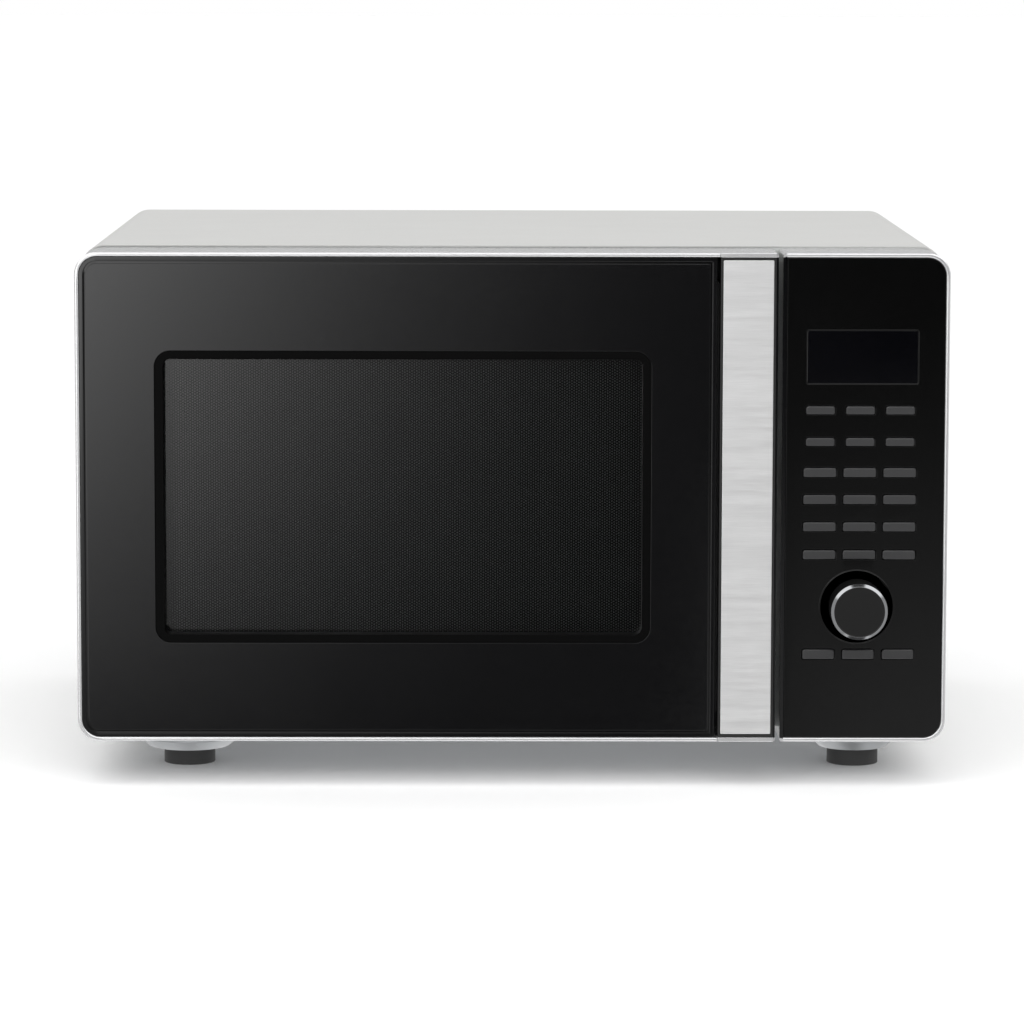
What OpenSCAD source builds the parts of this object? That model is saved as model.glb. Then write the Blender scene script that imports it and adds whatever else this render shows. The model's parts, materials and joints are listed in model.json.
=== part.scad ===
// Countertop microwave oven: a side-hinged door with a perforated window, a keypad with a dial,
// and a glass turntable in a steel cavity.
// Millimetres. X runs left to right, Y from front to back and Z up. The origin is on the surface
// the oven stands on, under the middle of the box that holds the whole oven.
// Inside the modules, Y is the depth behind the front frame: placed() moves it to the origin above.

/* [Body] */
// Width over the front frame
body_w = 485; // [404:1:600]
// Height of the front frame
body_h = 273.5; // [226:0.5:330]
// Depth from the front frame to the screw heads at the back
body_d = 405; // [337:1:490]
// Gap between the surface it stands on and the front frame
underside_z = 25.8; // [22:0.1:35]
// Corner radius of the front frame
corner_r = 12.5; // [6:0.5:16]
// Thickness of the visible rim round the door and the control panel
rim = 2.3; // [1.8:0.1:3]
// How far the cabinet's top stands above the front frame
top_step = 1.2; // [0.4:0.1:2]
// How far the cabinet's sides and underside sit inside the front frame
side_step = 0.6; // [0.3:0.1:1.5]
// Thickness of the steel sheets
sheet = 0.8; // [0.6:0.1:1.2]

/* [Door] */
// Thickness of the door
door_t = 42.5; // [40:0.5:55]
// Gap between the door's back and the cavity's front plate
door_gap_y = 1.5; // [1.3:0.1:3]
// Gap between the door and the control panel
door_gap_x = 2.6; // [2:0.1:4]
// Width of the handle section
handle_w = 31.3; // [28:0.1:40]
// Width of the steel plate on the handle
handle_plate_w = 28.1; // [22:0.1:28.5]
// Window opening: distance from the left side of the oven
window_left = 43.8; // [40:0.1:70]
// Window opening: distance from the right edge of the door's face
window_right = 35.8; // [30:0.1:60]
// Window opening: distance from the bottom of the frame
window_bottom = 55.4; // [48:0.1:70]
// Window opening: distance from the top of the frame
window_top = 54.5; // [48:0.1:70]
// Corner radius of the window opening
window_r = 9; // [7:0.5:12]
// Width of the bezel between the window opening and the screen
bezel_w = 4.8; // [3:0.1:8]
// Depth from the door's face to the screen
screen_depth = 13.4; // [10:0.1:16]
// How far the door opens, for the hinge slots
door_swing = 95; // [80:1:95]

/* [Control panel] */
// Width of the control panel
panel_w = 92.7; // [88:0.1:120]
// Widths of a key in rows one and two, in rows three to six and in the row under the dial
key_w = [16.1, 18.3, 17.8];
// Heights of the same keys
key_h = [4.6, 5.2, 5.5];
// Distance between the columns of keys
key_pitch_x = 22.2; // [21.5:0.1:26]
// Centres of the key rows above the middle of the panel, from the top row down
key_rows = [49.6, 31.95, 14.85, -0.25, -15.55, -31.25, -87.25];
// How far a key moves when it is pressed
key_travel = 0.8; // [0.3:0.1:1]
// Clearance between a key and its hole
key_clear = 0.3; // [0.2:0.05:0.4]
// Height of the display window
display_h = 30; // [20:0.5:34]
// Width of the display window
display_w = 62; // [40:0.5:64]
// Radius of the round recess behind the dial
dish_r = 20; // [18:0.5:21]
// Radius of the dial
dial_r = 15.7; // [12:0.1:17]
// How far the dial stands out from the front frame
dial_proud = 22; // [12:0.5:26]
// Centre of the dial above the middle of the panel
dial_rise = -60.45; // [-60.5:0.05:-59.5]
// Radius of the dial's shaft
shaft_r = 3; // [2:0.1:4]

/* [Cavity] */
// Distance from the left side of the oven to the cavity's inside
cavity_left = 33; // [30:0.5:45]
// Distance from the handle section to the cavity's inside
cavity_right = 9.6; // [8:0.1:20]
// Distance from the bottom of the frame up to the cavity's floor
cavity_bottom = 26.5; // [25:0.5:36]
// Distance from the top of the frame down to the cavity's roof
cavity_top = 29; // [24:0.5:40]
// Space behind the cavity
cavity_rear = 19.5; // [14:0.5:40]
// Clearance from the tray's rim to the cavity's nearest wall
tray_clear = 22.5; // [12:0.5:30]
// Radius of a turntable roller
roller_r = 7.25; // [6:0.05:9]
// Clearance left between rolling parts
roll_clear = 0.3; // [0.2:0.05:0.5]
// Radius of the turntable's shaft
spindle_r = 3.5; // [2.5:0.1:5]

/* [Feet] */
// Radius of a rubber foot
foot_r = 14.7; // [10:0.1:16]
// Height of a rubber foot
foot_h = 9.8; // [7:0.1:14]
// Radius of the stud that holds a foot
foot_stud_r = 4; // [3:0.1:6]
// Radii of a left boss, at the foot, at a third of its height and at the base plate
boss_left = [23.2, 30, 32];
// The same radii of a right boss
boss_right = [19.6, 25.4, 26];
// Distance of the left feet's centres from the left side
foot_left = 57.2; // [54:0.1:70]
// Distance of the right feet's centres from the right side
foot_right = 45.2; // [44:0.1:60]
// Distance of the front feet's centres from the cabinet's front plate
foot_front = 38.5; // [36.5:0.5:65]
// Distance of the rear feet's centres from the back
foot_rear = 55; // [50:1:80]

/* [Vents and screws] */
// Length of a vent slot in the right side
vent_l = 32; // [20:1:40]
// Height of a vent slot in the right side
vent_h = 3.2; // [2:0.1:4]
// Distance between the vent slots in the right side
vent_pitch = 9; // [7:0.5:12]
// Height of a slot in the rear panel
slot_h = 3; // [2:0.1:4]
// Distance between the slots in the rear panel
slot_pitch = 7; // [6:0.5:9]
// Radius of a cabinet screw
screw_r = 1.6; // [1.2:0.1:2.2]
// Radius of a screw's head
screw_head_r = 3.6; // [3:0.1:4.5]
// Radius of the hole in the cord gland
cord_r = 3.6; // [2.5:0.1:4.5]

/* [Fits] */
// Gap between pieces that are fitted together
fit = 0.2; // [0.1:0.05:0.3]
// Radial clearance of a shaft that turns in its hole
running = 0.05; // [0.02:0.01:0.08]

/* [Hidden] */
$fn = 72;
over = 0.5;                            // how far a cut reaches past a face
round_min = 0.6;                       // smallest corner radius on moulded edges

// The outside, as seen from the front
left = -body_w / 2;
right = body_w / 2;
bottom = underside_z;
top = underside_z + body_h;
mid_z = (bottom + top) / 2;
front_y = dial_proud - (body_d + dial_proud) / 2;

// The cabinet behind the front frame
cab_front = door_t + door_gap_y;
screw_head_t = 1.8;
cab_rear = body_d - screw_head_t;
cab_x = right - side_step;
cab_bottom = bottom + side_step;
cab_top = top + top_step;
cab_flange = 6;
rear_flange = 12;
base_x = cab_x - corner_r - fit;
base_z = cab_bottom + sheet;
plate_t = 1.5;
plate_back = cab_front + plate_t;
front_foot_y = plate_back + foot_front;
plate_r = corner_r - sheet - fit;
rear_y = cab_rear - 2 * sheet;

// The control panel and the door, side by side
panel_x0 = right - panel_w;
door_x1 = panel_x0 - door_gap_x;
door_side_wall = 0.8;
handle_x1 = door_x1 - door_side_wall;
handle_x0 = handle_x1 - handle_w;
face_depth = 0.6;
face_t = 3;
square_r = 1.5;
door_corners = [corner_r, square_r, square_r, corner_r];
panel_corners = [square_r, corner_r, corner_r, square_r];
face_x = [left + rim + fit, handle_x0 - 2];
face_z = [bottom + rim + fit, top - rim - fit];
groove_w = 1.5;
groove_inset = 2.2;
groove_depth = 1.6;

// The window, from its opening in the door's face back to the screen
window_x = [left + window_left, face_x[1] - window_right];
window_z = [bottom + window_bottom, top - window_top];
pane_x = grow(window_x, -bezel_w);
pane_z = grow(window_z, -bezel_w);
pane_round = 4.2;
pane_r = max(min(pane_round, window_r - bezel_w + pane_round / 2), round_min);
pocket = 2.4;
glass_t = 3;
screen_t = 0.8;
screen_y = face_depth + screen_depth;
glass_y = screen_y - glass_t - fit;
bezel_back = screen_y + screen_t + fit;

// The hinge: a vertical axis near the door's rear left corner
hinge_inset = 9;
hinge_x = left + hinge_inset;
hinge_y = door_t - hinge_inset;
hinge_round = hinge_inset;
pin_r = 3;
tab_t = 2;
tab_half = 5;
tab_z = top - 26;
tab_clear = 0.6;
ear_t = 3;
hinge_flange_t = 0.8;

// The steel pan at the back of the door, and the cover over its groove
choke_margin = 13;
choke_t = 1.2;
cover_t = 4;
cover_y = door_t - cover_t;
choke_y = bezel_back + fit;
choke_back = cover_y - fit;

// The cavity
cavity_x = [left + cavity_left, handle_x0 - cavity_right];
cavity_y = [plate_back, body_d - cavity_rear];
cavity_z = [bottom + cavity_bottom, top - cavity_top];
cavity_r = 6;
choke_x = grow(cavity_x, choke_margin);
choke_z = grow(cavity_z, choke_margin);
cavity_mid_z = (cavity_z[0] + cavity_z[1]) / 2;
table_x = (cavity_x[0] + cavity_x[1]) / 2;
table_y = (cavity_y[0] + cavity_y[1]) / 2;
tray_r = min(cavity_x[1] - cavity_x[0], cavity_y[1] - cavity_y[0]) / 2 - tray_clear;
tray_t = 4;
tray_rim_h = 11;
tray_z = cavity_z[0] + 2 * (roller_r + roll_clear);
ring_r = tray_r - 45;
roller_w = 6;
axle_r = 2;
axle_z = cavity_z[0] + roll_clear + roller_r;
coupler_r = 9;
coupler_gap = 0.4;
lug_r = 3;

// The latch and its slots
latch_x = (handle_x0 + handle_x1) / 2 - 2.8;
latch_half = 3;
latch_bar_half = 6;
latch_y = choke_y;
latch_t = 6;
latch_travel = 4;
latch_clear = 1.5;
latch_side_clear = 2.5;
latch_reach = 20;
hook_h = 8;
hook_lip = 4;
hook_z = [cavity_z[0] + 30, cavity_z[1] - 35];

// The pocket under the handle for the fingertips
grip_x = [handle_x0 + 6.5, handle_x1 - 3.5];
grip_y = [17, 34];
grip_h = 18;
grip_wall = 1.5;
handle_y = [face_depth + 0.3, 14];
handle_cap_t = 3;
handle_plate_x = grow([(handle_x0 + handle_x1) / 2, (handle_x0 + handle_x1) / 2], handle_plate_w / 2);
handle_plate_y = [0.3, 1.8];
handle_plate_z = [bottom + rim + 2, top - rim - 1.6];

// The control panel
panel_wall = 2.1;
fascia_x = [panel_x0 + panel_wall + fit, right - rim - fit];
fascia_back = face_depth + face_t;
fascia_r = corner_r - rim - fit;
panel_mid_x = (fascia_x[0] + fascia_x[1]) / 2 - 1.8;
display_x = [panel_mid_x - display_w / 2, panel_mid_x + display_w / 2];
display_rise = 64.2;
display_z = shift([0, display_h], mid_z + display_rise);
lens_t = 1.6;
lens_ledge = 3;
dish_depth = 1.4;
dish_rim_w = 0.7;
dish_rim_h = 0.4;
dial_x = panel_mid_x - 2;
dial_z = mid_z + dial_rise;
dial_chamfer = 1.6;
dial_gap = 0.8;
dial_bore_end = 7 - dial_proud;
shaft_end = dial_bore_end + 1;
key_proud = 1;
key_corners = [1, 1, 1.6, 1.6];
key_flange_w = 1;
key_flange_t = 1;
board_y = 12;
board_t = 1.6;
board_x = grow(fascia_x, -4);
board_z = [mid_z - 104, mid_z + 104];
switch_t = 2;
key_stem_end = board_y - switch_t - key_travel - fit;

// Keys: the node's name, the place of the centre, the width and the height
KEY_COLUMNS = ["left", "middle", "right"];
function key_size(row) = row < 2 ? 0 : row < 6 ? 1 : 2;
function key_name(row, column) = str("key_row", row + 1, "_", KEY_COLUMNS[column]);
function key_at(row, column) = [dial_x + 1 + (column - 1) * key_pitch_x, mid_z + key_rows[row]];

// The electronics bay, to the right of the cavity
bay_x = [cavity_x[1] + sheet, cab_x - sheet];
guide_x = [bay_x[0], bay_x[0] + 18];
guide_y = [plate_back + 80, plate_back + 200];
guide_z = [cavity_mid_z - 15, cavity_mid_z + 75];
guide_lip = 12;
panel_screw_rise = 80;
tube_y = plate_back + 140;
tube_z = cavity_mid_z + 30;
antenna_r = 9;
fan_x = (bay_x[0] + bay_x[1]) / 2 - 2;
fan_z = cavity_mid_z + 26;
fan_r = 46;
fan_y = rear_y - 34;
fan_hub_r = 11;
fan_shaft_r = 2.5;
base_top = base_z + sheet;
lamp_y = cavity_y[1] - 64;
lamp_z = cavity_z[1] - 28;
gland_x = cab_x - 42;
gland_z = bottom + 42;
gland_r = cord_r + 2.4;
gland_flange_r = gland_r + 3;

/* Helpers */

// A span made wider by d at both ends
function grow(span, d) = [span[0] - d, span[1] + d];
// A span moved along by d
function shift(span, d) = [span[0] + d, span[1] + d];
// Corner radii for an outline that lies d further in
function inset_r(radii, d) = [for (r = radii) max(r - d, round_min)];
// The same radius at all four corners
function even(r) = [r, r, r, r];

module placed() {
    translate([0, front_y, 0]) children();
}

module box(x, y, z) {
    translate([x[0], y[0], z[0]]) cube([x[1] - x[0], y[1] - y[0], z[1] - z[0]]);
}

// Rectangle with radii for the lower left, lower right, upper right and upper left corners
module rounded_rect(x, z, radii) {
    corners = [[x[0], z[0]], [x[1], z[0]], [x[1], z[1]], [x[0], z[1]]];
    inward = [[1, 1], [-1, 1], [-1, -1], [1, -1]];
    difference() {
        translate([x[0], z[0]]) square([x[1] - x[0], z[1] - z[0]]);
        for (i = [0:3])
            if (radii[i] > 0) corner_waste(corners[i], inward[i], radii[i]);
    }
}

// What a rounded corner takes off a square one
module corner_waste(corner, inward, r) {
    centre = corner + r * inward;
    tip = corner - over * inward;
    difference() {
        translate([min(centre.x, tip.x), min(centre.y, tip.y)])
            square([abs(centre.x - tip.x), abs(centre.y - tip.y)]);
        translate(centre) circle(r);
    }
}

// Upright slab that faces the front, from depth y[0] to y[1]
module slab(x, y, z, radii) {
    translate([0, y[1], 0]) rotate([90, 0, 0]) linear_extrude(y[1] - y[0]) rounded_rect(x, z, radii);
}

// Cylinder along Y from depth y[0] to y[1]
module rod_y(x, z, y, r) {
    translate([x, y[1], z]) rotate([90, 0, 0]) cylinder(h = y[1] - y[0], r = r);
}

// Cylinder along X from x[0] to x[1]
module rod_x(x, y, z, r) {
    translate([x[0], y, z]) rotate([0, 90, 0]) cylinder(h = x[1] - x[0], r = r);
}

// The children, and their mirror image in the oven's middle height
module top_and_bottom() {
    children();
    translate([0, 0, 2 * mid_z]) mirror([0, 0, 1]) children();
}

// What is cut from the door's pieces so that its rear left edge turns about the hinge
module hinge_waste() {
    z = [bottom - over, top + over];
    difference() {
        box([left - over, hinge_x], [hinge_y, door_t + over], z);
        translate([hinge_x, hinge_y, z[0] - over]) cylinder(h = z[1] - z[0] + 2 * over, r = hinge_round);
    }
    top_and_bottom()
        box([left - over, hinge_x + tab_half + 1], [hinge_y - tab_half - 2, door_t + over],
            [tab_z - tab_clear, tab_z + tab_t + tab_clear]);
}

// Slots that the latch's hooks pass through
module hook_slots(y) {
    for (z = hook_z)
        box([latch_x - latch_half - latch_clear, latch_x + latch_half + latch_side_clear], y,
            [z - hook_lip - latch_clear, z + hook_h + latch_travel + latch_clear]);
}

/* Cabinet and cavity */

module outer_cabinet() {
    r = even(corner_r);
    flange_r = 4;
    vent_rows = 12;
    vent_y = [plate_back + 44, plate_back + 84];
    vent_z0 = cavity_mid_z - 60;
    color("silver") placed() difference() {
        slab([-cab_x, cab_x], [cab_front, cab_rear], [cab_bottom, cab_top], r);
        slab(grow([-cab_x, cab_x], -sheet), [cab_front - over, cab_rear - sheet],
             grow([cab_bottom, cab_top], -sheet), inset_r(r, sheet));
        slab(grow([-cab_x, cab_x], -rear_flange), [cab_rear - sheet - over, cab_rear + over],
             grow([cab_bottom, cab_top], -rear_flange), even(flange_r));
        box([-base_x + cab_flange, base_x - cab_flange], [cab_front - over, cab_rear + over],
            [cab_bottom - over, base_z + over]);
        box([-base_x + cab_flange, base_x - cab_flange], [cab_rear - sheet - over, cab_rear + over],
            [cab_bottom - over, cab_bottom + rear_flange + over]);
        for (i = [0:vent_rows - 1], y = vent_y)
            box([cab_x - sheet - over, cab_x + over], [y, y + vent_l],
                shift([0, vent_h], vent_z0 + i * vent_pitch));
        screw_places() rod_y(0, 0, [rear_y, cab_rear + over], screw_r + fit);
    }
}

// Pressed hollow boss that a foot hangs from, with its radii from the foot up
module foot_boss(radii) {
    rise = base_top - foot_h;
    mid = (rise - sheet) / 3;
    outside = [[0, 0], [radii[0], 0], [radii[1], mid], [radii[2], rise - sheet], [radii[2], rise], [0, rise]];
    hollow = [[0, sheet], [radii[0] - sheet, sheet], [radii[1] - sheet, mid + sheet],
              [radii[2] - sheet, rise - sheet], [radii[2] - sheet, rise + over], [0, rise + over]];
    difference() {
        rotate_extrude() polygon(outside);
        rotate_extrude() polygon(hollow);
    }
}

// Radii of the bosses on the left side (-1) or the right side (1)
function boss_radii(side) = side < 0 ? boss_left : boss_right;

// Places of the two feet on one side
module feet_places(side) {
    x = side < 0 ? left + foot_left : right - foot_right;
    for (y = [front_foot_y, body_d - foot_rear]) translate([x, y, 0]) children();
}

module base_plate() {
    slots = 8;
    slot_l = 40;
    slot_w = 4;
    slot_step = 10;
    color("gainsboro") placed() difference() {
        union() {
            difference() {
                box([-base_x, base_x], [plate_back + fit, rear_y - fit], [base_z, base_top]);
                for (side = [-1, 1]) feet_places(side) translate([0, 0, base_z - over])
                    cylinder(h = sheet + 2 * over, r = boss_radii(side)[2] - sheet);
            }
            for (side = [-1, 1]) feet_places(side) translate([0, 0, foot_h]) foot_boss(boss_radii(side));
        }
        for (side = [-1, 1]) feet_places(side) translate([0, 0, foot_h - over])
            cylinder(h = sheet + 2 * over, r = foot_stud_r);
        for (i = [0:slots - 1])
            box(shift([-slot_l, 0], table_x - 90), shift([0, slot_w], table_y + (i - slots / 2) * slot_step),
                [base_z - over, base_top + over]);
    }
}

module feet() {
    clip_h = 3;
    clip_w = 2;
    color("dimgray") placed() for (side = [-1, 1]) feet_places(side) {
        cylinder(h = foot_h, r = foot_r);
        cylinder(h = foot_h + sheet + clip_h, r = foot_stud_r - fit);
        translate([0, 0, foot_h + sheet + fit]) cylinder(h = clip_h, r = foot_stud_r + clip_w);
    }
}

// Field of slots through the rear panel, centred on x and z
module rear_slots(x, z, columns, rows, length, gap) {
    step = length + gap;
    x0 = x - (columns * step - gap) / 2;
    z0 = z - rows * slot_pitch / 2;
    for (i = [0:rows - 1], j = [0:columns - 1])
        box(shift([0, length], x0 + j * step), [rear_y - over, rear_y + sheet + over],
            shift([0, slot_h], z0 + i * slot_pitch));
}

module rear_panel() {
    color("gainsboro") placed() difference() {
        slab(grow([-cab_x, cab_x], -sheet - fit), [rear_y, rear_y + sheet],
             [base_z + fit, cab_top - sheet - fit], even(plate_r));
        rear_slots(fan_x, fan_z, 5, 14, 12, 6);
        rear_slots(table_x, cavity_z[1] - 33, 4, 10, 15, 6);
        rod_y(gland_x, gland_z, [rear_y - over, rear_y + sheet + over], gland_r + fit);
        screw_places() rod_y(0, 0, [rear_y - over, cab_rear], screw_r + fit);
    }
}

// Places of the screws through the cabinet's rear flange and the rear panel
module screw_places() {
    x = cab_x - rear_flange / 2;
    end_gap = 30;
    for (side = [-x, x], z = [bottom + end_gap, mid_z, top - end_gap]) translate([side, 0, z]) children();
    for (at = [-body_w / 4, 0, body_w / 4]) translate([at, 0, cab_top - rear_flange / 2]) children();
}

module cabinet_screws() {
    point_l = 4;
    cross = [4, 2, 0.8];
    color("silver") placed() screw_places() {
        rod_y(0, 0, [rear_y - point_l, cab_rear], screw_r);
        difference() {
            rod_y(0, 0, [cab_rear, body_d], screw_head_r);
            for (turn = [0, 90]) translate([0, body_d, 0]) rotate([0, turn, 0])
                cube(cross, center = true);
        }
    }
}

// The cavity's box, welded to its front plate and to the waveguide
module cavity_shell() {
    outer_x = grow(cavity_x, sheet);
    outer_z = grow(cavity_z, sheet);
    color("silver") placed() difference() {
        union() {
            slab(grow([-cab_x, cab_x], -sheet - fit), [cab_front, plate_back],
                 [base_z + fit, cab_top - sheet - fit], even(plate_r));
            slab(outer_x, [cab_front, cavity_y[1] + sheet], outer_z, even(cavity_r + sheet));
            box(guide_x, guide_y, guide_z);
        }
        slab(cavity_x, [cab_front - over, cavity_y[1]], cavity_z, even(cavity_r));
        box(grow(guide_x, -sheet), grow(guide_y, -sheet), grow(guide_z, -sheet));
        box([cavity_x[1] - over, guide_x[0] + 2 * sheet], grow(guide_y, -guide_lip),
            grow(guide_z, -guide_lip));
        rod_x([guide_x[1] - 2 * sheet, guide_x[1] + over], tube_y, tube_z, antenna_r + fit);
        hook_slots([cab_front - over, plate_back + over]);
        translate([table_x, table_y, outer_z[0] - over])
            cylinder(h = sheet + 2 * over, r = coupler_r + coupler_gap);
        lamp_holes();
        exhaust_holes();
        for (z = grow([mid_z, mid_z], panel_screw_rise))
            rod_y(panel_x0 + panel_w / 2, z, [cab_front - over, plate_back + over], screw_r + fit);
    }
}

// Small holes that let the lamp's light through the cavity's wall
module lamp_holes() {
    pitch = 5;
    for (i = [0:5], j = [0:3])
        rod_x([cavity_x[1] - over, cavity_x[1] + sheet + over], lamp_y + (i - 2.5) * pitch,
              lamp_z + (0.8 - j) * pitch, 1.5);
}

// Small holes in the cavity's rear wall for the moist air
module exhaust_holes() {
    pitch = [10, 7];
    for (i = [0:7], j = [0:3])
        rod_y(table_x + (i - 3.5) * pitch.x, cavity_z[1] - 16 - j * pitch.y,
              [cavity_y[1] - over, cavity_y[1] + sheet + over], 2);
}

module waveguide_cover() {
    cover_sheet = 0.8;
    lap = guide_lip - 6;
    color("burlywood") placed()
        slab_side([cavity_x[1] - fit - cover_sheet, cavity_x[1] - fit], grow(guide_y, -lap),
                  grow(guide_z, -lap), 4);
}

// Slab that faces sideways, from x[0] to x[1]
module slab_side(x, y, z, r) {
    translate([x[0], 0, 0]) rotate([90, 0, 90]) linear_extrude(x[1] - x[0]) rounded_rect(y, z, even(r));
}

/* Control panel */

module panel_housing() {
    color("silver") placed() difference() {
        slab([panel_x0, right], [0, cab_front], [bottom, top], panel_corners);
        slab([panel_x0 + panel_wall, right - rim], [-over, cab_front + over],
             [bottom + rim, top - rim], inset_r(panel_corners, rim));
    }
}

module panel_fascia() {
    rim_front = face_depth - dish_rim_h;
    color("#121212") placed() difference() {
        union() {
            slab(fascia_x, [face_depth, fascia_back], face_z, [round_min, fascia_r, fascia_r, round_min]);
            rod_y(dial_x, dial_z, [rim_front, face_depth + dish_rim_h], dish_r + dish_rim_w);
        }
        slab(display_x, [face_depth - over, face_depth + lens_t], display_z, even(1));
        slab(grow(display_x, -lens_ledge), [face_depth, fascia_back + over],
             grow(display_z, -lens_ledge), even(1));
        rod_y(dial_x, dial_z, [rim_front - over, face_depth + dish_depth], dish_r);
        rod_y(dial_x, dial_z, [face_depth, fascia_back + over], shaft_r + 2);
        for (row = [0:6], column = [0:2])
            key_outline(row, column, key_clear, [face_depth - over, fascia_back + over]);
    }
}

module display_lens() {
    color("#0a0a0c") placed()
        slab(grow(display_x, -fit), grow([face_depth, face_depth + lens_t], -fit / 2),
             grow(display_z, -fit), even(1));
}

// A key's outline, grown by d: the upper corners are rounder than the lower ones
module key_outline(row, column, d, y) {
    at = key_at(row, column);
    half_w = key_w[key_size(row)] / 2 + d;
    half_h = key_h[key_size(row)] / 2 + d;
    slab(shift([-half_w, half_w], at.x), y, shift([-half_h, half_h], at.y), key_corners);
}

module key(row, column) {
    at = key_at(row, column);
    flange_y = shift([0, key_flange_t], fascia_back + fit / 2);
    color("#454545") placed() {
        key_outline(row, column, 0, [face_depth - key_proud, flange_y[0]]);
        key_outline(row, column, key_flange_w, flange_y);
        rod_y(at.x, at.y, [flange_y[0], key_stem_end], 1.5);
    }
}

// Board with the display, a switch behind each key, the dial's encoder and two relay blocks
module control_board() {
    switch = [6, 5];
    encoder = 14;
    front = [fascia_back + 1, board_y + over];
    back = board_y + over;
    color("darkgreen") placed() difference() {
        union() {
            slab(board_x, [board_y, board_y + board_t], board_z, even(1));
            for (row = [0:6], column = [0:2]) {
                at = key_at(row, column);
                box(shift([-switch.x / 2, switch.x / 2], at.x), [board_y - switch_t, back],
                    shift([-switch.y / 2, switch.y / 2], at.y));
            }
            box(grow(display_x, -lens_ledge - 1), front, grow(display_z, -lens_ledge - 1));
            box(grow([dial_x, dial_x], encoder / 2), front, grow([dial_z, dial_z], encoder / 2));
            rod_y(dial_x, dial_z, [shaft_end, board_y], shaft_r);
            box(shift([-25, 5], dial_x), [back, board_y + 20], shift([60, 92], mid_z));
            box(shift([12, 28], dial_x), [back, board_y + 18], shift([40, 62], mid_z));
        }
        for (x = grow(board_x, -4), z = grow(board_z, -4))
            rod_y(x, z, [board_y - over, board_y + board_t + over], screw_r);
    }
}

module dial_knob() {
    back = face_depth + dish_depth - dial_gap;
    color("#262626") placed() translate([dial_x, back, dial_z]) rotate([90, 0, 0]) difference() {
        rotate_extrude() polygon([[0, 0], [dial_r, 0], [dial_r, back + dial_proud - dial_chamfer],
                                  [dial_r - dial_chamfer, back + dial_proud], [0, back + dial_proud]]);
        translate([0, 0, -over]) cylinder(h = back - dial_bore_end + over, r = shaft_r + running);
    }
}

/* Door */

module door_shell() {
    inner = inset_r(door_corners, rim);
    color("silver") placed() difference() {
        slab([left, door_x1], [0, door_t], [bottom, top], door_corners);
        slab([left + rim, handle_x1], [-over, door_t + over], [bottom + rim, top - rim],
             [inner[0], round_min, round_min, inner[3]]);
        box([handle_x0, handle_x1], [-over, handle_cap_t], [bottom - over, top + over]);
        box(grow(grip_x, grip_wall + fit), grow(grip_y, grip_wall + fit),
            [bottom - over, bottom + rim + over]);
        hinge_waste();
    }
}

module handle_caps() {
    color("whitesmoke") placed() top_and_bottom()
        slab([handle_x0 + fit, handle_x1 - fit], [0, handle_cap_t - fit], [top - rim, top], even(0));
}

module door_panel() {
    r = corner_r - rim - fit;
    radii = [r, round_min, round_min, r];
    color("#2a2a2a") placed() difference() {
        slab(face_x, [face_depth, face_depth + face_t], face_z, radii);
        difference() {
            slab(grow(face_x, -groove_inset), [face_depth - over, face_depth + groove_depth],
                 grow(face_z, -groove_inset), inset_r(radii, groove_inset));
            slab(grow(face_x, -groove_inset - groove_w),
                 [face_depth - 2 * over, face_depth + 2 * groove_depth],
                 grow(face_z, -groove_inset - groove_w), inset_r(radii, groove_inset + groove_w));
        }
        slab(window_x, [face_depth - over, face_depth + face_t + over], window_z, even(window_r));
    }
}

module window_bezel() {
    color("#111111") placed() difference() {
        slab(grow(window_x, -fit), [face_depth, bezel_back], grow(window_z, -fit), even(window_r - fit));
        slab(pane_x, [face_depth - over, bezel_back + over], pane_z, even(pane_r));
        slab(grow(pane_x, pocket), [glass_y, bezel_back + over], grow(pane_z, pocket), even(pane_r + pocket));
    }
}

module window_glass() {
    color("lightgray", 0.3) placed()
        slab(grow(pane_x, pocket - fit), [glass_y, glass_y + glass_t], grow(pane_z, pocket - fit),
             even(pane_r + pocket - fit));
}

module shield_screen() {
    color("dimgray") placed()
        slab(grow(pane_x, pocket - fit), [screen_y, screen_y + screen_t], grow(pane_z, pocket - fit),
             even(pane_r + pocket - fit));
}

// Steel pan with a groove round the window, and the ears that turn on the hinge pins
module door_choke() {
    inner_x = grow(window_x, 1);
    inner_z = grow(window_z, 1);
    choke_r = 8;
    ear_z = tab_z + tab_t + tab_clear;
    ear_front = 3;
    color("darkgray") placed() {
        difference() {
            slab(choke_x, [choke_y, choke_back], choke_z, even(choke_r));
            slab(grow(choke_x, -choke_t), [choke_y + choke_t, choke_back + over], grow(choke_z, -choke_t),
                 even(choke_r - choke_t));
            slab(pane_x, [choke_y - over, choke_y + choke_t + over], pane_z, even(pane_r));
        }
        difference() {
            slab(grow(inner_x, choke_t), [choke_y + choke_t, choke_back], grow(inner_z, choke_t),
                 even(choke_r));
            slab(inner_x, [choke_y, choke_back + over], inner_z, even(choke_r - choke_t));
        }
        top_and_bottom() difference() {
            union() {
                box([hinge_x, choke_x[0] + choke_t / 2], shift([-tab_half, ear_front], hinge_y),
                    [ear_z, ear_z + ear_t]);
                translate([hinge_x, hinge_y, ear_z]) cylinder(h = ear_t, r = tab_half);
            }
            translate([hinge_x, hinge_y, ear_z - over]) cylinder(h = ear_t + 2 * over, r = pin_r + running);
        }
    }
}

module choke_cover() {
    inner = inset_r(door_corners, rim + fit);
    color("#1c1c1c") placed() difference() {
        slab([left + rim + fit, handle_x1 - fit], [cover_y, door_t], grow([bottom, top], -rim - fit),
             [inner[0], round_min, round_min, inner[3]]);
        slab(grow(window_x, 1), [cover_y - over, door_t + over], grow(window_z, 1), even(window_r - 2));
        hinge_waste();
        hook_slots([cover_y - over, door_t + over]);
    }
}

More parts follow.
